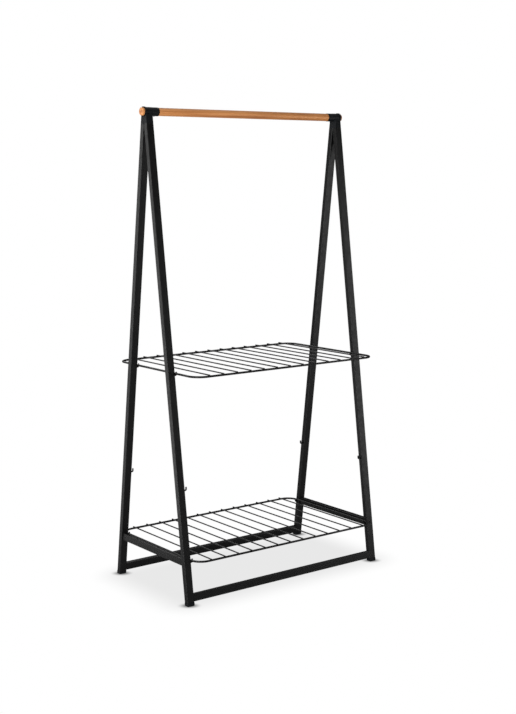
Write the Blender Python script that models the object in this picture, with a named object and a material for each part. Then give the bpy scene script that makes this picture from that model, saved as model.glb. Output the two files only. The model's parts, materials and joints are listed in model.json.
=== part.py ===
"""A-frame garment rack: two leaning tube frames, a wooden hanging rail and two lift-off wire shelves.

Metres, +Z up. The origin is on the floor at the middle of the rack. The rail runs along X and the front is -Y.
"""

from math import atan2, cos, pi, radians, sin, tan

import bmesh
import bpy
from mathutils import Vector

GAP = 0.0003

# Hanging rail and the lines of the legs
RAIL_HEIGHT = 1.889
RAIL_RADIUS = 0.0155
RAIL_LENGTH = 0.996
RAIL_END_ROUND = 0.0015
LEG_X = 0.4715
LEG_Y_AT_FLOOR = 0.255
LEG_Y_AT_RAIL = 0.005
LEAN = atan2(LEG_Y_AT_FLOOR - LEG_Y_AT_RAIL, RAIL_HEIGHT)

# Steel tube of the legs, and the slightly smaller tube of the crossbars and the side bars
LEG_WIDTH = 0.031
LEG_DEPTH = 0.022
BAR_TALL = 0.030
BAR_THICK = 0.020
TUBE_CORNER = 0.002
TUBE_WALL = 0.0012
CORNER_STEPS = 4

# Feet and crossbars, measured along the leg from the floor
FOOT_HEIGHT = 0.014
FOOT_FLARE = 0.0007
FOOT_SOLE_INSET = 0.002
FOOT_ROUND = 0.005
CROSSBAR_BOTTOM = 0.0150
SPIGOT_LENGTH = 0.035

# Leg heads round the rail
HEAD_SEAM_HEIGHT = 1.844
KNUCKLE_RADIUS = 0.0172
KNUCKLE_OUT = 0.018
COLLAR_RADIUS = 0.019
COLLAR_WIDTH = 0.008
KNUCKLE_SPLIT = 0.0005
KNUCKLE_CLEARANCE = 0.0023
SHOULDER_BELOW_AXIS = 0.004
SLEEVE_RADIUS = 0.0167
SLEEVE_LENGTH = 0.032
SLEEVE_OVERLAP = 0.001
RAIL_SCREW_INSET = 0.016
RAIL_SCREW_RADIUS = 0.0017
RAIL_SCREW_HEAD_RADIUS = 0.0032
RAIL_SCREW_LENGTH = 0.013
RAIL_SCREW_HEAD_HEIGHT = 0.0018
RAIL_SCREW_POINT = 0.003
ROUND_STEPS = 32

# Side bars between the front and the back leg
SIDE_BAR_HEIGHT = 0.1673
PLUG_LENGTH = 0.022
BOLT_RADIUS = 0.0025
BOLT_HEAD_RADIUS = 0.0044
BOLT_HEAD_HEIGHT = 0.0024
BOLT_REACH = 0.016
BOLT_STEPS = 12

# Wire shelves
SHELF_RIM_X = 0.4513
SHELF_RIM_Y = 0.2835
SHELF_CORNER = 0.052
SHELF_CORNER_STEPS = 6
RIM_RADIUS = 0.0042
RIM_STEPS = 12
WIRE_RADIUS = 0.0027
WIRE_STEPS = 8
WIRE_COUNT = 13
WIRE_PITCH = 0.065
WIRE_OVERHANG = 0.0042
WELD_DEPTH = 0.0005

# Shelf hooks: the height of the rim that each row of hooks holds
SHELF_HEIGHTS = {"upper": 0.8938, "middle": 0.4508, "lower": 0.1732}
SHELVES_FITTED = ("upper", "lower")
HOOK_RADIUS = 0.0032
HOOK_BEND = 0.004
HOOK_RISE = 0.0138
HOOK_TIP = 0.001
HOOK_TIP_RADIUS = 0.0022
HOOK_HEAD_RADIUS = 0.0048
HOOK_HEAD_LENGTH = 0.0012
HOOK_STEPS = 8
HOLE_CLEARANCE = 0.0005

SIDES = {"left": -1, "right": 1}
FRAMES = {"front": -1, "back": 1}

RAIL_WOOD = ("rail_wood", (0.60, 0.34, 0.15), 0.45, 0.0)
BLACK_STEEL = ("black_steel", (0.028, 0.028, 0.030), 0.42, 0.0)
BLACK_PLASTIC = ("black_plastic", (0.024, 0.025, 0.028), 0.5, 0.0)
ZINC_STEEL = ("zinc_steel", (0.55, 0.55, 0.56), 0.35, 1.0)


def clear_scene():
    for obj in list(bpy.data.objects):
        bpy.data.objects.remove(obj, do_unlink=True)


def material(settings):
    name, colour, roughness, metallic = settings
    made = bpy.data.materials.get(name)
    if made is None:
        made = bpy.data.materials.new(name)
        made.use_nodes = True
        shader = made.node_tree.nodes["Principled BSDF"]
        shader.inputs["Base Color"].default_value = (*colour, 1.0)
        shader.inputs["Roughness"].default_value = roughness
        shader.inputs["Metallic"].default_value = metallic
    return made


def rounded_rectangle(width, depth, corner, steps):
    """Outline points, anticlockwise, of a rectangle whose corners are arcs."""
    points = []
    for turn in range(4):
        middle_x = (width / 2 - corner) * (1 if turn in (0, 3) else -1)
        middle_y = (depth / 2 - corner) * (1 if turn in (0, 1) else -1)
        for step in range(steps + 1):
            angle = (turn + step / steps) * pi / 2
            points.append((middle_x + corner * cos(angle), middle_y + corner * sin(angle)))
    return points


def circle(radius, steps):
    return [(radius * cos(2 * pi * i / steps), radius * sin(2 * pi * i / steps)) for i in range(steps)]


def loft(rings, closed=False):
    """A mesh whose skin joins each ring of points to the next, with a cap on each end unless it closes on itself."""
    mesh = bmesh.new()
    loops = [[mesh.verts.new(point) for point in ring] for ring in rings]
    pairs = list(zip(loops, loops[1:]))
    if closed:
        pairs.append((loops[-1], loops[0]))
    else:
        mesh.faces.new(loops[0])
        mesh.faces.new(loops[-1])
    for low, high in pairs:
        for i in range(len(low)):
            j = (i + 1) % len(low)
            mesh.faces.new((low[i], low[j], high[j], high[i]))
    bmesh.ops.recalc_face_normals(mesh, faces=mesh.faces)
    return mesh


def finish(name, mesh, settings, parent=None, location=(0, 0, 0), rotation=(0, 0, 0), smooth=True):
    data = bpy.data.meshes.new(name)
    mesh.to_mesh(data)
    mesh.free()
    if smooth:
        data.shade_smooth()
        data.set_sharp_from_angle(angle=radians(35))
    if settings is not None:
        data.materials.append(material(settings))
    obj = bpy.data.objects.new(name, data)
    obj.location = location
    obj.rotation_euler = rotation
    obj.parent = parent
    bpy.context.scene.collection.objects.link(obj)
    return obj


def helper(name, mesh, **place):
    """An object that only shapes others: a Boolean reads it, and it is no part of the rack."""
    obj = finish(name, mesh, None, smooth=False, **place)
    obj.hide_render = True
    obj.display_type = "WIRE"
    return obj


def boolean(obj, operation, other):
    change = obj.modifiers.new(other.name, "BOOLEAN")
    change.operation = operation
    change.solver = "EXACT"
    change.object = other


def at_level(outline, level):
    return [(x, y, level) for x, y in outline]


def tube(width, depth, corner, wall, low, high):
    """A hollow tube along Z, open at both ends."""
    outside = rounded_rectangle(width, depth, corner, CORNER_STEPS)
    inside = rounded_rectangle(width - 2 * wall, depth - 2 * wall, corner - wall, CORNER_STEPS)
    rings = [at_level(outside, low), at_level(outside, high), at_level(inside, high), at_level(inside, low)]
    return loft(rings, closed=True)


def rod(radius, low, high, steps):
    """A solid round rod along Z."""
    outline = circle(radius, steps)
    return loft([at_level(outline, low), at_level(outline, high)])


def along_x(mesh):
    """Turns a mesh that was built along Z, so that it runs along X."""
    for vertex in mesh.verts:
        vertex.co = Vector((vertex.co.z, vertex.co.y, -vertex.co.x))
    return mesh


def along_y(mesh):
    """Turns a mesh that was built along Z, so that it runs along Y."""
    for vertex in mesh.verts:
        vertex.co = Vector((vertex.co.x, vertex.co.z, -vertex.co.y))
    return mesh


def block(low, high):
    mesh = bmesh.new()
    bmesh.ops.create_cube(mesh, size=1.0)
    for vertex in mesh.verts:
        vertex.co = Vector([a + (b - a) * (c + 0.5) for a, b, c in zip(low, high, vertex.co)])
    return mesh


def up_leg(height):
    """Distance along a leg at which its centre line is this high above the floor."""
    return height / cos(LEAN)


def leg_y(height):
    """Distance of a leg's centre line from the middle plane, at this height."""
    return LEG_Y_AT_FLOOR - height * tan(LEAN)


def hook_height(row):
    return SHELF_HEIGHTS[row] - RIM_RADIUS - GAP - HOOK_RADIUS


def frame_plane(frame, toward):
    """The empty that carries one leaning frame: its Z runs up the legs, and its Y is square to them."""
    empty = bpy.data.objects.new(f"{frame}_frame_plane", None)
    empty.location = (0, toward * LEG_Y_AT_FLOOR, 0)
    empty.rotation_euler = (toward * LEAN, 0, 0)
    bpy.context.scene.collection.objects.link(empty)
    return empty


def spigot_outline():
    trim = 2 * (TUBE_WALL + GAP)
    corner = TUBE_CORNER - TUBE_WALL - GAP
    return rounded_rectangle(LEG_WIDTH - trim, LEG_DEPTH - trim, corner, CORNER_STEPS)


def make_leg(name, plane, side):
    top = up_leg(HEAD_SEAM_HEIGHT)
    mesh = tube(LEG_WIDTH, LEG_DEPTH, TUBE_CORNER, TUBE_WALL, FOOT_HEIGHT, top - GAP)
    leg = finish(name, mesh, BLACK_STEEL, parent=plane, location=(side * LEG_X, 0, 0))
    for row in SHELF_HEIGHTS:
        drill = along_x(rod(HOOK_RADIUS + HOLE_CLEARANCE, -2 * TUBE_WALL, 2 * TUBE_WALL, BOLT_STEPS))
        place = (side * (LEG_X - LEG_WIDTH / 2), 0, up_leg(hook_height(row)))
        boolean(leg, "DIFFERENCE", helper(f"{name}_{row}_hook_hole", drill, parent=plane, location=place))
    drill = along_y(rod(BOLT_RADIUS + HOLE_CLEARANCE, -LEG_DEPTH, LEG_DEPTH, BOLT_STEPS))
    place = (side * LEG_X, 0, up_leg(SIDE_BAR_HEIGHT))
    boolean(leg, "DIFFERENCE", helper(f"{name}_bolt_hole", drill, parent=plane, location=place))


def make_foot(name, plane, side, toward):
    """A cap with a level, round-edged sole and a spigot that fills the end of the leg."""
    width = LEG_WIDTH + 2 * FOOT_FLARE
    depth = LEG_DEPTH + 2 * FOOT_FLARE
    rings = []
    for step in range(4):
        angle = step / 3 * pi / 2
        inset = FOOT_SOLE_INSET * (1 - sin(angle))
        height = FOOT_ROUND * (1 - cos(angle))
        outline = rounded_rectangle(width - 2 * inset, depth - 2 * inset, TUBE_CORNER - inset / 2, CORNER_STEPS)
        rings.append([(x, y, (height - y * sin(toward * LEAN)) / cos(LEAN)) for x, y in outline])
    top = FOOT_HEIGHT - GAP
    rings.append(at_level(rounded_rectangle(width, depth, TUBE_CORNER, CORNER_STEPS), top))
    rings.append(at_level(spigot_outline(), top))
    rings.append(at_level(spigot_outline(), top + SPIGOT_LENGTH))
    finish(name, loft(rings), BLACK_PLASTIC, parent=plane, location=(side * LEG_X, 0, 0))


def rail_place(side, x_inward):
    """A point on the rail's axis, this far inward of a leg's centre line."""
    return (side * (LEG_X - x_inward), 0, RAIL_HEIGHT)


def make_head(name, plane, side, toward):
    """A spigot in the leg, a shoulder that carries the leg's outline on, and a ring round the rail."""
    seam = up_leg(HEAD_SEAM_HEIGHT)
    shoulder = rounded_rectangle(LEG_WIDTH, LEG_DEPTH, TUBE_CORNER, CORNER_STEPS)
    rings = [
        at_level(spigot_outline(), seam - SPIGOT_LENGTH),
        at_level(spigot_outline(), seam),
        at_level(shoulder, seam),
        at_level(shoulder, up_leg(RAIL_HEIGHT - SHOULDER_BELOW_AXIS)),
    ]
    head = finish(name, loft(rings), BLACK_PLASTIC, parent=plane, location=(side * LEG_X, 0, 0))

    reach = 0.05
    past_middle = block((-reach, -GAP, 0), (reach, reach, 2 * reach))
    place = (side * LEG_X, 0, RAIL_HEIGHT - reach)
    turn = (0, 0, 0 if toward < 0 else pi)
    boolean(head, "DIFFERENCE", helper(f"{name}_middle_cut", past_middle, location=place, rotation=turn))

    if toward > 0:
        ring = (-KNUCKLE_OUT, -KNUCKLE_SPLIT - GAP)
        cleared = (-KNUCKLE_SPLIT, reach)
    else:
        ring = (-KNUCKLE_SPLIT + GAP, LEG_WIDTH / 2 + GAP)
        cleared = (-reach, -KNUCKLE_SPLIT)
    shapes = [
        ("ring", "UNION", KNUCKLE_RADIUS, ring),
        ("other_ring", "DIFFERENCE", KNUCKLE_RADIUS + KNUCKLE_CLEARANCE, cleared),
        ("rail_bore", "DIFFERENCE", RAIL_RADIUS + GAP, (-reach, reach + SLEEVE_LENGTH)),
    ]
    if toward > 0:
        shapes.insert(1, ("collar", "UNION", COLLAR_RADIUS, (-KNUCKLE_OUT - GAP, COLLAR_WIDTH - KNUCKLE_OUT)))
    else:
        shapes.insert(2, ("sleeve", "UNION", SLEEVE_RADIUS, (SLEEVE_OVERLAP, LEG_WIDTH / 2 + SLEEVE_LENGTH)))
    for label, operation, radius, span in shapes:
        ends = sorted(-side * inward for inward in span)
        shape = along_x(rod(radius, ends[0], ends[1], ROUND_STEPS))
        boolean(head, operation, helper(f"{name}_{label}", shape, location=rail_place(side, 0)))
    if toward < 0:
        boolean(head, "DIFFERENCE", screw_hole(f"{name}_screw_hole", side))


def rail_screw_x(side):
    return side * (LEG_X - LEG_WIDTH / 2 - RAIL_SCREW_INSET)


def screw_hole(name, side):
    drill = rod(RAIL_SCREW_RADIUS + GAP, -RAIL_SCREW_LENGTH - GAP, RAIL_SCREW_LENGTH, BOLT_STEPS)
    place = (rail_screw_x(side), 0, RAIL_HEIGHT - SLEEVE_RADIUS)
    return helper(name, drill, location=place)


def make_rail_screw(name, side):
    """A round-headed screw that comes up through the sleeve into the rail."""
    head = RAIL_SCREW_HEAD_RADIUS
    profile = [
        (0.6 * head, -RAIL_SCREW_HEAD_HEIGHT),
        (head, -0.5 * RAIL_SCREW_HEAD_HEIGHT),
        (head, 0.0),
        (RAIL_SCREW_RADIUS, 0.0),
        (RAIL_SCREW_RADIUS, RAIL_SCREW_LENGTH - RAIL_SCREW_POINT),
        (0.4 * RAIL_SCREW_RADIUS, RAIL_SCREW_LENGTH - GAP),
    ]
    rings = [at_level(circle(radius, BOLT_STEPS), level) for radius, level in profile]
    place = (rail_screw_x(side), 0, RAIL_HEIGHT - SLEEVE_RADIUS - GAP)
    finish(name, loft(rings), ZINC_STEEL, location=place)


def make_rail():
    half = RAIL_LENGTH / 2
    profile = [
        (RAIL_RADIUS - RAIL_END_ROUND, -half),
        (RAIL_RADIUS, -half + RAIL_END_ROUND),
        (RAIL_RADIUS, half - RAIL_END_ROUND),
        (RAIL_RADIUS - RAIL_END_ROUND, half),
    ]
    rings = [at_level(circle(radius, ROUND_STEPS), level) for radius, level in profile]
    rail = finish("hanging_rail", along_x(loft(rings)), RAIL_WOOD, location=(0, 0, RAIL_HEIGHT))
    for side_name, side in SIDES.items():
        boolean(rail, "DIFFERENCE", screw_hole(f"rail_pilot_hole_{side_name}", side))


def make_crossbar(name, plane):
    length = LEG_X - LEG_WIDTH / 2 - GAP
    mesh = along_x(tube(BAR_TALL, BAR_THICK, TUBE_CORNER, TUBE_WALL, -length, length))
    finish(name, mesh, BLACK_STEEL, parent=plane, location=(0, 0, CROSSBAR_BOTTOM + BAR_TALL / 2))


def side_bar_end(height):
    """Half the side bar's length at this height: its ends are mitred to lie along the leaning legs."""
    return leg_y(height) - LEG_DEPTH / 2 / cos(LEAN) - GAP


def mitre(mesh, square_end=None):
    """Moves the ends of a bar built along Y with half length 1, so that they follow the legs."""
    for vertex in mesh.verts:
        if vertex.co.y > 0:
            vertex.co.y = side_bar_end(SIDE_BAR_HEIGHT + vertex.co.z)
        elif square_end is None:
            vertex.co.y = -side_bar_end(SIDE_BAR_HEIGHT + vertex.co.z)
        else:
            vertex.co.y = square_end
    return mesh


def make_side_bar(name, side):
    mesh = along_y(tube(BAR_THICK, BAR_TALL, TUBE_CORNER, TUBE_WALL, -1, 1))
    finish(name, mitre(mesh), BLACK_STEEL, location=(side * LEG_X, 0, SIDE_BAR_HEIGHT))


def make_bar_plug(name, side, toward, plane):
    """A block in the end of a side bar, with the hole that its bolt screws into."""
    trim = 2 * (TUBE_WALL + GAP)
    corner = TUBE_CORNER - TUBE_WALL - GAP
    outline = rounded_rectangle(BAR_THICK - trim, BAR_TALL - trim, corner, CORNER_STEPS)
    mesh = along_y(loft([at_level(outline, -1), at_level(outline, 1)]))
    mesh = mitre(mesh, square_end=side_bar_end(SIDE_BAR_HEIGHT) - PLUG_LENGTH)
    place = (side * LEG_X, 0, SIDE_BAR_HEIGHT)
    turn = (0, 0, 0 if toward > 0 else pi)
    plug = finish(name, mesh, BLACK_PLASTIC, location=place, rotation=turn)
    drill = along_y(rod(BOLT_RADIUS + GAP, -2 * PLUG_LENGTH, 2 * PLUG_LENGTH, BOLT_STEPS))
    bolt_line = (side * LEG_X, 0, up_leg(SIDE_BAR_HEIGHT))
    boolean(plug, "DIFFERENCE", helper(f"{name}_hole", drill, parent=plane, location=bolt_line))


def make_bolt(name, side, toward, plane):
    """A dome-headed bolt through a leg and into the plug of the side bar."""
    profile = [
        (0.55 * BOLT_HEAD_RADIUS, BOLT_HEAD_HEIGHT),
        (0.88 * BOLT_HEAD_RADIUS, 0.65 * BOLT_HEAD_HEIGHT),
        (BOLT_HEAD_RADIUS, 0.15 * BOLT_HEAD_HEIGHT),
        (BOLT_HEAD_RADIUS, 0.0),
        (BOLT_RADIUS, 0.0),
        (BOLT_RADIUS, -LEG_DEPTH - BOLT_REACH),
    ]
    rings = [at_level(circle(radius, BOLT_STEPS), toward * level) for radius, level in profile]
    place = (side * LEG_X, toward * (LEG_DEPTH / 2 + GAP), up_leg(SIDE_BAR_HEIGHT))
    finish(name, along_y(loft(rings)), BLACK_STEEL, parent=plane, location=place)


def make_hook(name, row, side, toward):
    """A pin riveted in the leg's inner wall, bent up at its free end to hold the rim of a shelf."""
    wall = TUBE_WALL + GAP
    level = HOOK_RISE - HOOK_BEND
    out = SHELF_RIM_X - RIM_RADIUS - GAP - HOOK_RADIUS
    stub = LEG_X - LEG_WIDTH / 2 - out - HOOK_BEND
    stations = [
        (wall + HOOK_HEAD_LENGTH, 0, 0, HOOK_HEAD_RADIUS),
        (wall, 0, 0, HOOK_HEAD_RADIUS),
        (wall, 0, 0, HOOK_RADIUS),
        (-stub, 0, 0, HOOK_RADIUS),
    ]
    for step in range(1, 4):
        angle = step / 3 * pi / 2
        x = -stub - HOOK_BEND * sin(angle)
        stations.append((x, HOOK_BEND * (1 - cos(angle)), angle, HOOK_RADIUS))
    tip = -stub - HOOK_BEND
    stations.append((tip, HOOK_BEND + level - HOOK_TIP, pi / 2, HOOK_RADIUS))
    stations.append((tip, HOOK_BEND + level, pi / 2, HOOK_TIP_RADIUS))
    rings = []
    for x, z, angle, radius in stations:
        ring = [(x + b * sin(angle), a, z + b * cos(angle)) for a, b in circle(radius, HOOK_STEPS)]
        rings.append(ring)
    height = hook_height(row)
    place = (side * (LEG_X - LEG_WIDTH / 2), toward * leg_y(height), height)
    finish(name, loft(rings), BLACK_STEEL, location=place, rotation=(0, 0, 0 if side > 0 else pi))


def rim_mesh():
    """Round wire bent into a rectangle with round corners."""
    width = 2 * SHELF_RIM_X
    depth = 2 * SHELF_RIM_Y
    path = rounded_rectangle(width, depth, SHELF_CORNER, SHELF_CORNER_STEPS)
    middles = rounded_rectangle(width - 2 * SHELF_CORNER, depth - 2 * SHELF_CORNER, 0, SHELF_CORNER_STEPS)
    rings = []
    for (x, y), (middle_x, middle_y) in zip(path, middles):
        out = Vector((x - middle_x, y - middle_y, 0)).normalized()
        rings.append([Vector((x, y, 0)) + out * a + Vector((0, 0, b)) for a, b in circle(RIM_RADIUS, RIM_STEPS)])
    return loft(rings, closed=True)


def cross_wires():
    """All the thin wires of one shelf, laid across the rim."""
    level = RIM_RADIUS + WIRE_RADIUS - WELD_DEPTH
    half = SHELF_RIM_Y + WIRE_OVERHANG
    wires = bmesh.new()
    for i in range(WIRE_COUNT):
        x = (i - (WIRE_COUNT - 1) / 2) * WIRE_PITCH
        wire = along_y(rod(WIRE_RADIUS, -half, half, WIRE_STEPS))
        wire.verts.ensure_lookup_table()
        for vertex in wire.verts:
            vertex.co += Vector((x, 0, level))
        copy = bpy.data.meshes.new("wire")
        wire.to_mesh(copy)
        wire.free()
        wires.from_mesh(copy)
        bpy.data.meshes.remove(copy)
    return wires


def make_shelf(name, height):
    shelf = finish(name, rim_mesh(), BLACK_STEEL, location=(0, 0, height))
    boolean(shelf, "UNION", helper(f"{name}_wires", cross_wires(), location=(0, 0, height)))


def main():
    clear_scene()
    make_rail()
    for frame, toward in FRAMES.items():
        plane = frame_plane(frame, toward)
        make_crossbar(f"{frame}_crossbar", plane)
        for side_name, side in SIDES.items():
            corner = f"{frame}_{side_name}"
            make_leg(f"leg_{corner}", plane, side)
            make_foot(f"foot_{corner}", plane, side, toward)
            make_head(f"leg_head_{corner}", plane, side, toward)
            make_bar_plug(f"side_bar_plug_{corner}", side, toward, plane)
            make_bolt(f"side_bar_bolt_{corner}", side, toward, plane)
            for row in SHELF_HEIGHTS:
                make_hook(f"shelf_hook_{row}_{corner}", row, side, toward)
    for side_name, side in SIDES.items():
        make_side_bar(f"side_bar_{side_name}", side)
        make_rail_screw(f"rail_screw_{side_name}", side)
    for row in SHELVES_FITTED:
        make_shelf(f"{row}_shelf", SHELF_HEIGHTS[row])


main()
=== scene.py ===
"""Looks of an A-frame garment rack: a lacquered wooden rail, powder-coated steel and moulded fittings."""

import json
from math import cos, pi, radians, sin, tau

import bmesh
import bpy
from mathutils import Matrix, Vector

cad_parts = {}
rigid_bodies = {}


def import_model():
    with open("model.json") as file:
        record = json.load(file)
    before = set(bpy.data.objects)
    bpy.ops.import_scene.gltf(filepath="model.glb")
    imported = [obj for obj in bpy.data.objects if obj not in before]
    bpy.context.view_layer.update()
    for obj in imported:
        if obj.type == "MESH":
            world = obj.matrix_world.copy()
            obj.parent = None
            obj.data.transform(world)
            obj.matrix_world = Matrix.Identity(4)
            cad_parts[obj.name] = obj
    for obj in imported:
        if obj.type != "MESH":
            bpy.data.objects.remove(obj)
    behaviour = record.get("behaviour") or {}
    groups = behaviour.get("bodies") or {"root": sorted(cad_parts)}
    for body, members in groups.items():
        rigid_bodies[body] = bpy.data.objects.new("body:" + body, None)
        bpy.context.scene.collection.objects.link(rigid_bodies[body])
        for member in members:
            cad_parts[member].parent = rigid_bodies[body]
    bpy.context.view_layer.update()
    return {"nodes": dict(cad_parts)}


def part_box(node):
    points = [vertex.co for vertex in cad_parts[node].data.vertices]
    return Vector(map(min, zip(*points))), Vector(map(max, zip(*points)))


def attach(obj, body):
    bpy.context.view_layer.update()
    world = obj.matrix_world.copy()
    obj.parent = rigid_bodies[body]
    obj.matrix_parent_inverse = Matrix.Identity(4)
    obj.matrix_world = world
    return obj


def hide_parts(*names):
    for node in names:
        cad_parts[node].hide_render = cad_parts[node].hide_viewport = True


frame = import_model()

RACK = "rack_frame"
SIDES = ("left", "right")
FRAMES = ("front", "back")
CORNERS = [f"{end}_{side}" for end in FRAMES for side in SIDES]
HOOK_ROWS = ("upper", "middle", "lower")

EDGE_ROUND = 0.0004
MOULDED_EDGE_ROUND = 0.0007
EDGE_STEPS = 2
MERGE_DISTANCE = 0.00001
FLAT_ANGLE = radians(1)
SHARP_ANGLE = radians(30)

RAIL_SEGMENTS = 96
RAIL_END_ROUND = 0.0022
RAIL_END_STEPS = 6

RIM_RADIUS = 0.0042
RIM_SIDES = 24
WIRE_RADIUS = 0.0027
WIRE_SIDES = 16
WIRE_COUNT = 13
WIRE_PITCH = 0.065
SHELF_CORNER = 0.052
SHELF_CORNER_STEPS = 14
WELD_DEPTH = 0.0015
WELD_SIZE = 1.25
WELD_SQUASH = (1.0, 1.35, 0.62)
HOOK_RADIUS = 0.0032
HOOK_SIDES = 20
HOOK_HEAD_RADIUS = 0.0048
HOOK_BEND = 0.0044
HOOK_BEND_STEPS = 10
HOOK_TIP_FLAT = 0.85


# Meshes

def new_piece(name, mesh, material, smooth=True):
    """Turns a bmesh into an object at the origin, with its place in its mesh."""
    data = bpy.data.meshes.new(name)
    mesh.to_mesh(data)
    mesh.free()
    if smooth:
        data.shade_smooth()
        data.set_sharp_from_angle(angle=SHARP_ANGLE)
    data.materials.append(material)
    piece = bpy.data.objects.new(name, data)
    bpy.context.scene.collection.objects.link(piece)
    return piece


def settle(piece):
    """Turns a piece and its live modifiers into a plain mesh."""
    graph = bpy.context.evaluated_depsgraph_get()
    data = bpy.data.meshes.new_from_object(piece.evaluated_get(graph))
    piece.modifiers.clear()
    piece.data = data
    return piece


def even_shading(piece):
    """Lets the large faces set the normals, so that flats look flat up to their rounded edges."""
    weights = piece.modifiers.new("even_shading", "WEIGHTED_NORMAL")
    weights.keep_sharp = True
    return settle(piece)


def worked(node, name, material, edge_round, slot):
    """A finished copy of a structural part: merged, with its hard edges rounded over."""
    mesh = bmesh.new()
    mesh.from_mesh(frame["nodes"][node].data)
    bmesh.ops.remove_doubles(mesh, verts=mesh.verts, dist=MERGE_DISTANCE)
    bmesh.ops.dissolve_limit(mesh, angle_limit=FLAT_ANGLE, verts=mesh.verts, edges=mesh.edges)
    hard = [edge for edge in mesh.edges if edge.is_manifold and edge.calc_face_angle() > SHARP_ANGLE]
    rounding = {"offset": edge_round, "segments": EDGE_STEPS, "profile": 0.5, "clamp_overlap": True}
    bmesh.ops.bevel(mesh, geom=hard, affect="EDGES", **rounding)
    piece = even_shading(new_piece(name, mesh, material))
    return place(piece, RACK, slot, node)


def place(piece, body, slot, *nodes):
    """Puts a finished piece on its body, instead of the structural parts it stands for. The slot is not
    used.
    """
    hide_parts(*nodes)
    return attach(piece, body)


def turned(profile, segments):
    """A solid of revolution round Z, from (radius, height) points that start and end on the axis."""
    mesh = bmesh.new()
    rings = []
    for radius, height in profile:
        if radius == 0:
            rings.append([mesh.verts.new((0, 0, height))])
            continue
        angles = [tau * i / segments for i in range(segments)]
        ring = [(radius * cos(angle), radius * sin(angle), height) for angle in angles]
        rings.append([mesh.verts.new(point) for point in ring])
    for low, high in zip(rings, rings[1:]):
        for i in range(segments):
            j = (i + 1) % segments
            corners = [low[i % len(low)], low[j % len(low)], high[j % len(high)], high[i % len(high)]]
            mesh.faces.new(list(dict.fromkeys(corners)))
    bmesh.ops.recalc_face_normals(mesh, faces=mesh.faces)
    return mesh


def rounded_end(radius, height, round_over, outward):
    """Profile points of a flat end with a rounded rim, from the axis out; outward is -1 below, 1 above."""
    points = [(0, height)]
    for i in range(RAIL_END_STEPS + 1):
        angle = i / RAIL_END_STEPS * pi / 2
        across = radius - round_over + round_over * sin(angle)
        points.append((across, height - outward * round_over * (1 - cos(angle))))
    return points


# Node trees

def add(tree, kind, **settings):
    """A new node with its plain settings, such as an operation or a mode."""
    node = tree.nodes.new(kind)
    for key, value in settings.items():
        setattr(node, key, value)
    return node


def feed(tree, node, socket, value):
    """Sets a socket, or links it when the value is another node's output."""
    target = node.inputs[socket]
    if isinstance(value, bpy.types.NodeSocket):
        tree.links.new(value, target)
    else:
        target.default_value = value


def build(tree, kind, inputs=None, **settings):
    """A new node with its settings and its fed sockets."""
    node = add(tree, kind, **settings)
    for socket, value in (inputs or {}).items():
        feed(tree, node, socket, value)
    return node


# Materials

def surface(name, base, roughness, **sockets):
    """A material with its Principled shader's plain sockets set; its nodes are added by the caller."""
    material = bpy.data.materials.new(name)
    material.use_nodes = True
    tree = material.node_tree
    shader = tree.nodes["Principled BSDF"]
    shader.inputs["Base Color"].default_value = (*base, 1)
    shader.inputs["Roughness"].default_value = roughness
    for socket, value in sockets.items():
        shader.inputs[socket.replace("_", " ")].default_value = value
    return material, tree, shader


def object_points(tree, scale=(1, 1, 1)):
    """Points of the piece in metres, stretched by a scale along each axis."""
    points = add(tree, "ShaderNodeTexCoord").outputs["Object"]
    return build(tree, "ShaderNodeMapping", {"Vector": points, "Scale": scale}).outputs["Vector"]


def noise(tree, points, scale, detail, roughness=0.5):
    """Soft random tone from 0 to 1."""
    inputs = {"Vector": points, "Scale": scale, "Detail": detail, "Roughness": roughness}
    return build(tree, "ShaderNodeTexNoise", inputs).outputs["Fac"]


def spread(tree, value, low, high, to_low, to_high):
    """Moves a value from one range to another."""
    inputs = {"Value": value, "From Min": low, "From Max": high, "To Min": to_low, "To Max": to_high}
    return build(tree, "ShaderNodeMapRange", inputs).outputs["Result"]


def ramp(tree, value, stops):
    """Turns a value into a colour by (position, colour) stops."""
    node = build(tree, "ShaderNodeValToRGB", {"Fac": value})
    band = node.color_ramp
    while len(band.elements) < len(stops):
        band.elements.new(0.5)
    for element, (position, colour) in zip(band.elements, stops):
        element.position = position
        element.color = (*colour, 1)
    return node.outputs["Color"]


def bump(tree, height, strength, distance, under=None):
    """A normal raised by a height pattern, over another bump where one is given."""
    inputs = {"Height": height, "Strength": strength, "Distance": distance}
    if under is not None:
        inputs["Normal"] = under
    return build(tree, "ShaderNodeBump", inputs).outputs["Normal"]


COAT_BLACK = (0.0041, 0.0041, 0.0042)
COAT_DEEP = (0.0034, 0.0034, 0.0035)
COAT_DUSTY = (0.0049, 0.0049, 0.0050)
MOULDED_BLACK = (0.0034, 0.0042, 0.0054)
MOULDED_DEEP = (0.0028, 0.0035, 0.0046)
MOULDED_PALE = (0.0040, 0.0048, 0.0062)
WOOD = (0.50, 0.21, 0.075)
PALE_WOOD = (0.780, 0.350, 0.126)
WARM_WOOD = (0.620, 0.254, 0.083)
LATE_WOOD = (0.410, 0.146, 0.045)
ZINC = (0.62, 0.62, 0.63)
ZINC_DULL = (0.54, 0.54, 0.53)
ZINC_BRIGHT = (0.68, 0.68, 0.70)


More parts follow.
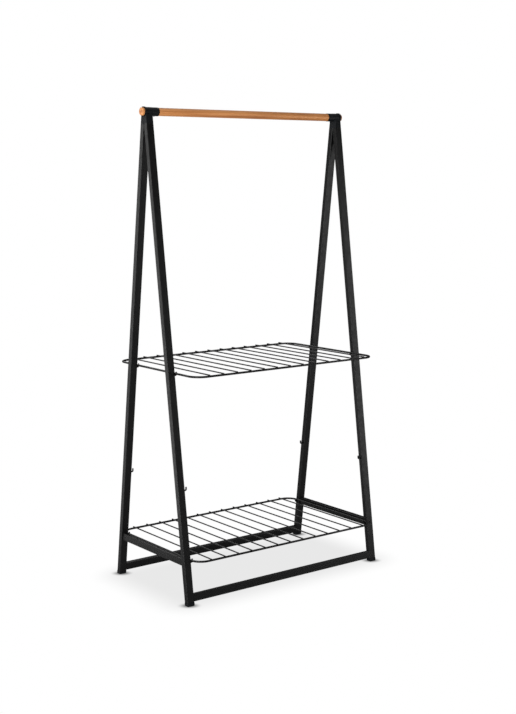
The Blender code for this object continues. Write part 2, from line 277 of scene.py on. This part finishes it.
def powder_coat(name):
    """Satin black powder coat: a fine orange-peel skin, a slightly uneven sheen and soft dusty patches."""
    material, tree, shader = surface(name, COAT_BLACK, 0.40, Specular_IOR_Level=0.25)
    points = object_points(tree)
    patches = noise(tree, points, 9, 4)
    feed(tree, shader, "Base Color", ramp(tree, patches, [(0.3, COAT_DEEP), (0.7, COAT_DUSTY)]))
    feed(tree, shader, "Roughness", spread(tree, noise(tree, points, 55, 4), 0.3, 0.7, 0.34, 0.44))
    grain = bump(tree, noise(tree, points, 2600, 1), 0.04, 0.0001)
    feed(tree, shader, "Normal", bump(tree, noise(tree, points, 700, 2), 0.04, 0.0003, grain))
    return material


def moulded_plastic(name):
    """Black injection-moulded plastic with a fine spark-eroded grain and a cooler tone than the steel."""
    material, tree, shader = surface(name, MOULDED_BLACK, 0.5, Specular_IOR_Level=0.2)
    points = object_points(tree)
    patches = noise(tree, points, 24, 3)
    feed(tree, shader, "Base Color", ramp(tree, patches, [(0.3, MOULDED_DEEP), (0.7, MOULDED_PALE)]))
    feed(tree, shader, "Roughness", spread(tree, noise(tree, points, 120, 3), 0.3, 0.7, 0.44, 0.56))
    cells = build(tree, "ShaderNodeTexVoronoi", {"Vector": points, "Scale": 1500.0}).outputs["Distance"]
    feed(tree, shader, "Normal", bump(tree, cells, 0.18, 0.0002))
    return material


def lacquered_wood(name):
    """Straight-grained wood under thin lacquer: long streaks, dark late wood, fine lines and pores."""
    gloss = {"Specular_IOR_Level": 0.3, "Coat_Weight": 0.06, "Coat_Roughness": 0.35}
    material, tree, shader = surface(name, WOOD, 0.45, **gloss)
    streaks = noise(tree, object_points(tree, (2.2, 95, 95)), 1.0, 5, 0.55)
    fine = noise(tree, object_points(tree, (9, 620, 620)), 1.0, 4, 0.6)
    patches = noise(tree, object_points(tree, (3, 18, 18)), 1.0, 3)
    pores = noise(tree, object_points(tree, (150, 2600, 2600)), 1.0, 1)
    body = ramp(tree, streaks, [(0.32, LATE_WOOD), (0.46, WARM_WOOD), (0.62, PALE_WOOD)])
    fine_tone = ramp(tree, fine, [(0.35, (0.80, 0.76, 0.72)), (0.6, (1.0, 1.0, 1.0))])
    patch_tone = ramp(tree, patches, [(0.3, (0.93, 0.91, 0.89)), (0.7, (1.0, 1.0, 1.0))])
    pore_tone = ramp(tree, pores, [(0.30, (0.50, 0.42, 0.36)), (0.36, (1.0, 1.0, 1.0))])
    colour = body
    for layer, amount in ((fine_tone, 0.6), (patch_tone, 1.0), (pore_tone, 0.55)):
        mixed = add(tree, "ShaderNodeMix", data_type="RGBA", blend_type="MULTIPLY")
        mixed.inputs["Factor"].default_value = amount
        tree.links.new(colour, mixed.inputs[6])
        tree.links.new(layer, mixed.inputs[7])
        colour = mixed.outputs[2]
    feed(tree, shader, "Base Color", colour)
    feed(tree, shader, "Roughness", spread(tree, fine, 0.3, 0.7, 0.36, 0.48))
    feed(tree, shader, "Normal", bump(tree, fine, 0.10, 0.0003))
    return material


def zinc_plate(name):
    """Bright zinc on steel, with a faint cloudy spangle."""
    material, tree, shader = surface(name, ZINC, 0.32, Metallic=1.0)
    points = object_points(tree, (1, 1, 6))
    spangle = noise(tree, points, 300, 3)
    feed(tree, shader, "Base Color", ramp(tree, spangle, [(0.3, ZINC_DULL), (0.7, ZINC_BRIGHT)]))
    feed(tree, shader, "Roughness", spread(tree, noise(tree, points, 900, 2), 0.3, 0.7, 0.25, 0.42))
    return material


steel = powder_coat("powder_coated_steel")
wire_coat = powder_coat("powder_coated_wire")
plastic = moulded_plastic("moulded_black_plastic")
wood = lacquered_wood("lacquered_rail_wood")
zinc = zinc_plate("zinc_plated_screws")


# Rail, tubes and fittings

def make_rail():
    """The wooden rod, turned to the length and thickness of its structural part."""
    low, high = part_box("hanging_rail")
    middle = (low + high) / 2
    radius = (high.z - low.z) / 2
    profile = rounded_end(radius, low.x, RAIL_END_ROUND, -1)
    profile += rounded_end(radius, high.x, RAIL_END_ROUND, 1)[::-1]
    mesh = turned(profile, RAIL_SEGMENTS)
    mesh.transform(Matrix.Translation((0, middle.y, middle.z)) @ Matrix.Rotation(pi / 2, 4, "Y"))
    place(new_piece("wooden_rail", mesh, wood), RACK, "rail_wood", "hanging_rail")


def make_frames():
    """Legs with their heads and feet, the crossbars near the floor and the side bars."""
    for corner in CORNERS:
        worked(f"leg_{corner}", f"leg_tube_{corner}", steel, EDGE_ROUND, "black_steel")
        worked(f"leg_head_{corner}", f"rail_holder_{corner}", plastic, MOULDED_EDGE_ROUND, "black_plastic")
        worked(f"foot_{corner}", f"floor_cap_{corner}", plastic, MOULDED_EDGE_ROUND, "black_plastic")
    for end in FRAMES:
        worked(f"{end}_crossbar", f"floor_bar_{end}", steel, EDGE_ROUND, "black_steel")
    for side in SIDES:
        worked(f"side_bar_{side}", f"spreader_{side}", steel, EDGE_ROUND, "black_steel")


# Repeated and swept pieces, made with Geometry Nodes

class Tree:
    """A Geometry Nodes tree with named inputs, which ends in one realised mesh of one material."""

    def __init__(self, name, sizes):
        self.group = bpy.data.node_groups.new(name, "GeometryNodeTree")
        sockets = self.group.interface
        sockets.new_socket("Geometry", in_out="INPUT", socket_type="NodeSocketGeometry")
        self.ids = {}
        for label, kind in sizes.items():
            self.ids[label] = sockets.new_socket(label, in_out="INPUT", socket_type=kind).identifier
        finish = sockets.new_socket("Finish", in_out="INPUT", socket_type="NodeSocketMaterial")
        self.ids["Finish"] = finish.identifier
        sockets.new_socket("Geometry", in_out="OUTPUT", socket_type="NodeSocketGeometry")
        self.inputs = self.group.nodes.new("NodeGroupInput").outputs

    def node(self, kind, inputs=None, **settings):
        return build(self.group, kind, inputs, **settings)

    def math(self, operation, first, second):
        return self.node("ShaderNodeMath", {0: first, 1: second}, operation=operation).outputs[0]

    def vector(self, x=0.0, y=0.0, z=0.0):
        return self.node("ShaderNodeCombineXYZ", {"X": x, "Y": y, "Z": z}).outputs[0]

    def round_bar(self, path, radius, sides):
        """A closed bar of round section along a path."""
        profile = self.node("GeometryNodeCurvePrimitiveCircle", {"Resolution": sides, "Radius": radius})
        inputs = {"Curve": path, "Profile Curve": profile.outputs["Curve"], "Fill Caps": True}
        return self.node("GeometryNodeCurveToMesh", inputs).outputs["Mesh"]

    def finish(self, *shapes):
        """Joins the shapes, makes their instances real and gives them the finish."""
        joined = self.node("GeometryNodeJoinGeometry")
        for shape in shapes:
            self.group.links.new(shape, joined.inputs["Geometry"])
        solid = self.node("GeometryNodeRealizeInstances", {"Geometry": joined.outputs["Geometry"]})
        smooth = self.node("GeometryNodeSetShadeSmooth", {"Geometry": solid.outputs["Geometry"]})
        inputs = {"Geometry": smooth.outputs["Geometry"], "Material": self.inputs["Finish"]}
        coated = self.node("GeometryNodeSetMaterial", inputs)
        end = self.group.nodes.new("NodeGroupOutput")
        self.group.links.new(coated.outputs["Geometry"], end.inputs[0])

    def make(self, name, base, values):
        """Runs the tree on a base mesh and returns the result as a plain mesh object."""
        data = bpy.data.meshes.new(name)
        base.to_mesh(data)
        base.free()
        piece = bpy.data.objects.new(name, data)
        bpy.context.scene.collection.objects.link(piece)
        modifier = piece.modifiers.new(self.group.name, "NODES")
        modifier.node_group = self.group
        for label, value in values.items():
            modifier[self.ids[label]] = value
        settle(piece)
        piece.data.set_sharp_from_angle(angle=SHARP_ANGLE)
        return piece


def shelf_tree():
    """Rim of round wire with thinner wires welded across it, and a flattened weld at each crossing."""
    names = ("Width", "Depth", "Corner", "Rim radius", "Wire radius", "Pitch", "Wire lift", "Wire length")
    tree = Tree("wire_shelf", {**dict.fromkeys(names, "NodeSocketFloat"), "Wires": "NodeSocketInt"})
    size = tree.inputs
    inputs = {"Width": size["Width"], "Height": size["Depth"]}
    outline = tree.node("GeometryNodeCurvePrimitiveQuadrilateral", inputs).outputs["Curve"]
    inputs = {"Curve": outline, "Radius": size["Corner"], "Count": SHELF_CORNER_STEPS, "Limit Radius": True}
    bent = tree.node("GeometryNodeFilletCurve", inputs, mode="POLY")
    rim = tree.round_bar(bent.outputs["Curve"], size["Rim radius"], RIM_SIDES)

    half = tree.math("MULTIPLY", size["Wire length"], 0.5)
    near = tree.vector(y=tree.math("MULTIPLY", half, -1.0))
    line = tree.node("GeometryNodeCurvePrimitiveLine", {"Start": near, "End": tree.vector(y=half)})
    wire = tree.round_bar(line.outputs["Curve"], size["Wire radius"], WIRE_SIDES)
    gaps = tree.math("SUBTRACT", size["Wires"], 1)
    first = tree.math("MULTIPLY", tree.math("MULTIPLY", gaps, size["Pitch"]), -0.5)

    def one_per_wire(shape, y, z):
        start = tree.vector(first, y, z)
        row = {"Count": size["Wires"], "Start Location": start, "Offset": tree.vector(size["Pitch"])}
        places = tree.node("GeometryNodeMeshLine", row, mode="OFFSET").outputs["Mesh"]
        inputs = {"Points": places, "Instance": shape}
        return tree.node("GeometryNodeInstanceOnPoints", inputs).outputs["Instances"]

    nugget_radius = tree.math("MULTIPLY", size["Wire radius"], WELD_SIZE)
    inputs = {"Segments": WIRE_SIDES, "Rings": WIRE_SIDES // 2, "Radius": nugget_radius}
    nugget = tree.node("GeometryNodeMeshUVSphere", inputs).outputs["Mesh"]
    weld = tree.node("GeometryNodeTransform", {"Geometry": nugget, "Scale": WELD_SQUASH}).outputs["Geometry"]
    low = tree.math("SUBTRACT", size["Wire lift"], size["Wire radius"])
    shapes = [rim, one_per_wire(wire, 0.0, size["Wire lift"])]
    for toward in (-0.5, 0.5):
        shapes.append(one_per_wire(weld, tree.math("MULTIPLY", size["Depth"], toward), low))
    tree.finish(*shapes)
    return tree


def make_shelves():
    """Both shelves from one tree, each at the size and place of its structural part."""
    tree = shelf_tree()
    for node in ("upper_shelf", "lower_shelf"):
        low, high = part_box(node)
        lift = RIM_RADIUS + WIRE_RADIUS - WELD_DEPTH
        values = {
            "Width": high.x - low.x - 2 * RIM_RADIUS,
            "Depth": high.y - low.y - 2 * RIM_RADIUS,
            "Corner": SHELF_CORNER,
            "Rim radius": RIM_RADIUS,
            "Wire radius": WIRE_RADIUS,
            "Pitch": WIRE_PITCH,
            "Wire lift": lift,
            "Wire length": high.y - low.y,
            "Wires": WIRE_COUNT,
            "Finish": wire_coat,
        }
        piece = tree.make(f"{node}_grid", bmesh.new(), values)
        middle = (low + high) / 2
        piece.data.transform(Matrix.Translation((middle.x, middle.y, low.z + RIM_RADIUS)))
        place(piece, node, "shelf_wire", node)


def hook_tree():
    """A pin bent up at its free end, set at every point with the turn that the point carries."""
    tree = Tree("bent_hooks", dict.fromkeys(("Reach", "Rise", "Bend", "Radius"), "NodeSocketFloat"))
    size = tree.inputs
    steps = tree.node("GeometryNodeMeshLine", {"Count": 3})
    index = tree.node("GeometryNodeInputIndex").outputs["Index"]
    inward = tree.math("MULTIPLY", size["Reach"], -1.0)
    along = tree.math("MULTIPLY", tree.math("MINIMUM", index, 1.0), inward)
    up = tree.math("MULTIPLY", tree.math("MAXIMUM", tree.math("SUBTRACT", index, 1.0), 0.0), size["Rise"])
    inputs = {"Geometry": steps.outputs["Mesh"], "Position": tree.vector(along, 0.0, up)}
    corner = tree.node("GeometryNodeSetPosition", inputs)
    line = tree.node("GeometryNodeMeshToCurve", {"Mesh": corner.outputs["Geometry"]}).outputs["Curve"]
    inputs = {"Curve": line, "Radius": size["Bend"], "Count": HOOK_BEND_STEPS, "Limit Radius": True}
    bent = tree.node("GeometryNodeFilletCurve", inputs, mode="POLY")
    pin = tree.round_bar(bent.outputs["Curve"], size["Radius"], HOOK_SIDES)
    inputs = {"Segments": HOOK_SIDES, "Rings": HOOK_SIDES // 2, "Radius": size["Radius"]}
    ball = tree.node("GeometryNodeMeshUVSphere", inputs).outputs["Mesh"]
    tip_place = tree.vector(inward, 0.0, size["Rise"])
    inputs = {"Geometry": ball, "Translation": tip_place, "Scale": (1.0, 1.0, HOOK_TIP_FLAT)}
    tip = tree.node("GeometryNodeTransform", inputs)
    whole = tree.node("GeometryNodeJoinGeometry")
    for shape in (tip.outputs["Geometry"], pin):
        tree.group.links.new(shape, whole.inputs["Geometry"])
    turn = tree.node("GeometryNodeInputNamedAttribute", {"Name": "turn"}, data_type="FLOAT")
    facing = tree.vector(z=turn.outputs["Attribute"])
    inputs = {"Points": size["Geometry"], "Instance": whole.outputs["Geometry"], "Rotation": facing}
    tree.finish(tree.node("GeometryNodeInstanceOnPoints", inputs).outputs["Instances"])
    return tree


def make_hooks():
    """All twelve hooks in one piece, each rooted in the inner face of its leg."""
    nodes = [f"shelf_hook_{row}_{corner}" for row in HOOK_ROWS for corner in CORNERS]
    base = bmesh.new()
    turn = base.verts.layers.float.new("turn")
    for node in nodes:
        low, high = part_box(node)
        left = low.x < 0
        root = (low.x if left else high.x, (low.y + high.y) / 2, low.z + HOOK_HEAD_RADIUS)
        vertex = base.verts.new(root)
        vertex[turn] = pi if left else 0.0
    low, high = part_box(nodes[0])
    values = {
        "Reach": high.x - low.x - HOOK_RADIUS,
        "Rise": high.z - low.z - HOOK_HEAD_RADIUS - HOOK_TIP_FLAT * HOOK_RADIUS,
        "Bend": HOOK_BEND,
        "Radius": HOOK_RADIUS,
        "Finish": steel,
    }
    piece = hook_tree().make("shelf_hook_pins", base, values)
    place(piece, RACK, "black_steel", *nodes)


def finish_plugs_and_screws():
    """The plugs, bolts and rail screws keep their structural shape and take their finish."""
    for corner in CORNERS:
        show(f"side_bar_plug_{corner}", plastic)
        show(f"side_bar_bolt_{corner}", steel)
    for side in SIDES:
        show(f"rail_screw_{side}", zinc)


def show(node, material):
    """Gives a structural part its finish and leaves its mesh as it is."""
    data = frame["nodes"][node].data
    data.materials.clear()
    data.materials.append(material)


# Studio

CAMERA_PLACE = Vector((-3.0586, -4.1230, 1.6454))
CAMERA_YAW = radians(37.0624)
CAMERA_PITCH = radians(8.2506)
CAMERA_ROLL = radians(-0.1905)
CAMERA_LENS = 63.02
SENSOR_WIDTH = 36
FLOOR_RADIUS = 3.2
FLOOR_SIDES = 96
FLOOR_BOUNCE = 0.4
FLOOR_DULL = 0.9
FLOOR_GLOW = 1.0
WHITE = (1, 1, 1, 1)
WALL_TOP = 0.35
CEILING_EDGE = 0.95
WALL_LIGHT = 0.02
CEILING_LIGHT = 0.5
SHADE_HALF_X = 0.44
SHADE_HALF_Y = 0.20
SHADE_REACH = 0.20
SHADE_DEPTH = 0.19
SHADE_TURN = radians(37)
FOOT_SHADE_LONG = 0.056
FOOT_SHADE_WIDE = 0.042
FOOT_SHADE_DEPTH = 0.85


def make_camera():
    """A camera at standing height, in front of the rack and to its left, turned by yaw, pitch and roll."""
    flat = cos(CAMERA_PITCH)
    forward = Vector((sin(CAMERA_YAW) * flat, cos(CAMERA_YAW) * flat, -sin(CAMERA_PITCH)))
    level = Vector((cos(CAMERA_YAW), -sin(CAMERA_YAW), 0))
    above = level.cross(forward)
    right = level * cos(CAMERA_ROLL) + above * sin(CAMERA_ROLL)
    up = above * cos(CAMERA_ROLL) - level * sin(CAMERA_ROLL)
    data = bpy.data.cameras.new("camera")
    data.lens = CAMERA_LENS
    data.sensor_width = SENSOR_WIDTH
    camera = bpy.data.objects.new("camera", data)
    turned_to = Matrix((right, up, -forward)).transposed().to_4x4()
    camera.matrix_world = Matrix.Translation(CAMERA_PLACE) @ turned_to
    bpy.context.scene.collection.objects.link(camera)
    bpy.context.scene.camera = camera


def vector_math(tree, operation, *values):
    return build(tree, "ShaderNodeVectorMath", dict(enumerate(values)), operation=operation).outputs[0]


def distance(tree, vector):
    return build(tree, "ShaderNodeVectorMath", {0: vector}, operation="LENGTH").outputs["Value"]


def scalar(tree, operation, first, second):
    return build(tree, "ShaderNodeMath", {0: first, 1: second}, operation=operation).outputs[0]


def fade(tree, value, reach, depth, curve):
    """Full depth where the value is 0, nothing from the reach on."""
    inputs = {"Value": value, "From Max": reach, "To Min": depth, "To Max": 0.0}
    return build(tree, "ShaderNodeMapRange", inputs, interpolation_type=curve).outputs["Result"]


def foot_shade(tree, points, centre):
    """A painted shadow on the floor under one foot: a dark soft oval set by position, not cast by the lamps.
    """
    moved = vector_math(tree, "SUBTRACT", points, (centre.x, centre.y, 0))
    inputs = {"Vector": moved, "Angle": SHADE_TURN}
    lined_up = build(tree, "ShaderNodeVectorRotate", inputs, rotation_type="Z_AXIS").outputs["Vector"]
    local = vector_math(tree, "MULTIPLY", lined_up, (1 / FOOT_SHADE_LONG, 1 / FOOT_SHADE_WIDE, 1))
    return fade(tree, distance(tree, local), 1.0, FOOT_SHADE_DEPTH, "SMOOTHERSTEP")


def rack_shade(tree, points):
    """A painted shade under the whole rack, faint and even, which fades out round a rectangle; it is set by
    position, not cast by the lamps.
    """
    folded = vector_math(tree, "ABSOLUTE", points)
    past = vector_math(tree, "SUBTRACT", folded, (SHADE_HALF_X, SHADE_HALF_Y, 0))
    outside = vector_math(tree, "MAXIMUM", past, (0, 0, 0))
    return fade(tree, distance(tree, outside), SHADE_REACH, SHADE_DEPTH, "SMOOTHSTEP")


def make_floor():
    """A white floor that carries a painted soft shade of the rack and painted shadows under the feet where
    the camera sees it, and bounces dull light.
    """
    material, tree, shader = surface("pale_floor", (FLOOR_BOUNCE, FLOOR_BOUNCE, FLOOR_BOUNCE), FLOOR_DULL)
    shader.inputs["Specular IOR Level"].default_value = 0.0
    points = object_points(tree)
    # For camera rays the floor glows white, darkened by the painted rack shade and the painted foot shadows;
    # other rays see the dull diffuse floor.
    light = scalar(tree, "SUBTRACT", 1.0, rack_shade(tree, points))
    # Painted shadows under the four feet, each set at its foot's place.
    for corner in CORNERS:
        low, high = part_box(f"foot_{corner}")
        left_over = scalar(tree, "SUBTRACT", 1.0, foot_shade(tree, points, (low + high) / 2))
        light = scalar(tree, "MULTIPLY", light, left_over)
    glow = scalar(tree, "MULTIPLY", light, FLOOR_GLOW)
    lit = build(tree, "ShaderNodeEmission", {"Strength": glow})
    path = add(tree, "ShaderNodeLightPath")
    seen = add(tree, "ShaderNodeMixShader")
    tree.links.new(path.outputs["Is Camera Ray"], seen.inputs[0])
    tree.links.new(shader.outputs[0], seen.inputs[1])
    tree.links.new(lit.outputs[0], seen.inputs[2])
    tree.links.new(seen.outputs[0], tree.nodes["Material Output"].inputs["Surface"])
    mesh = bmesh.new()
    bmesh.ops.create_circle(mesh, cap_ends=True, radius=FLOOR_RADIUS, segments=FLOOR_SIDES)
    new_piece("floor", mesh, material, smooth=False)


def make_light(name, place_at, aim, width, height, power):
    """A rectangular softbox that shines at a point and isn't seen itself."""
    data = bpy.data.lights.new(name, "AREA")
    data.shape = "RECTANGLE"
    data.size = width
    data.size_y = height
    data.energy = power
    lamp = bpy.data.objects.new(name, data)
    lamp.visible_camera = False
    lamp.location = place_at
    lamp.rotation_euler = (Vector(aim) - Vector(place_at)).to_track_quat("-Z", "Y").to_euler()
    bpy.context.scene.collection.objects.link(lamp)


def make_world():
    """White past the floor for the camera; for the rest bright overhead and dim towards the sides."""
    world = bpy.data.worlds.new("studio")
    world.use_nodes = True
    tree = world.node_tree
    tree.nodes.clear()
    seen = build(tree, "ShaderNodeBackground", {"Color": WHITE, "Strength": 1.0})
    toward = add(tree, "ShaderNodeTexCoord").outputs["Generated"]
    upward = build(tree, "ShaderNodeSeparateXYZ", {"Vector": toward}).outputs["Z"]
    level = spread(tree, upward, WALL_TOP, CEILING_EDGE, WALL_LIGHT, CEILING_LIGHT)
    around = build(tree, "ShaderNodeBackground", {"Color": WHITE, "Strength": level})
    path = add(tree, "ShaderNodeLightPath")
    mix = add(tree, "ShaderNodeMixShader")
    tree.links.new(path.outputs["Is Camera Ray"], mix.inputs[0])
    tree.links.new(around.outputs[0], mix.inputs[1])
    tree.links.new(seen.outputs[0], mix.inputs[2])
    end = add(tree, "ShaderNodeOutputWorld")
    tree.links.new(mix.outputs[0], end.inputs["Surface"])
    bpy.context.scene.world = world


def make_studio():
    """Camera, floor, surround and softboxes: each light's place, aim, width, height and power in watts."""
    make_camera()
    make_floor()
    make_world()
    make_light("overhead_softbox", (0, 0, 4.2), (0, 0, 0), 4.0, 4.0, 20)
    make_light("key_softbox", (-4.7, -2.9, 0.6), (0, 0, 1.2), 2.6, 2.2, 360)
    make_light("left_panel", (-1.15, 0.88, 0.85), (0, 0.88, 0.75), 0.7, 2.4, 14)
    make_light("back_fill", (0.2, 3.4, 3.4), (0, 0, 1.3), 2.6, 2.2, 60)
    make_light("right_softbox", (2.4, -2.3, 1.0), (0.4, -0.2, 0.8), 0.9, 2.2, 22)
    bpy.context.scene.view_settings.view_transform = "Standard"


make_rail()
make_frames()
make_shelves()
make_hooks()
finish_plugs_and_screws()
make_studio()
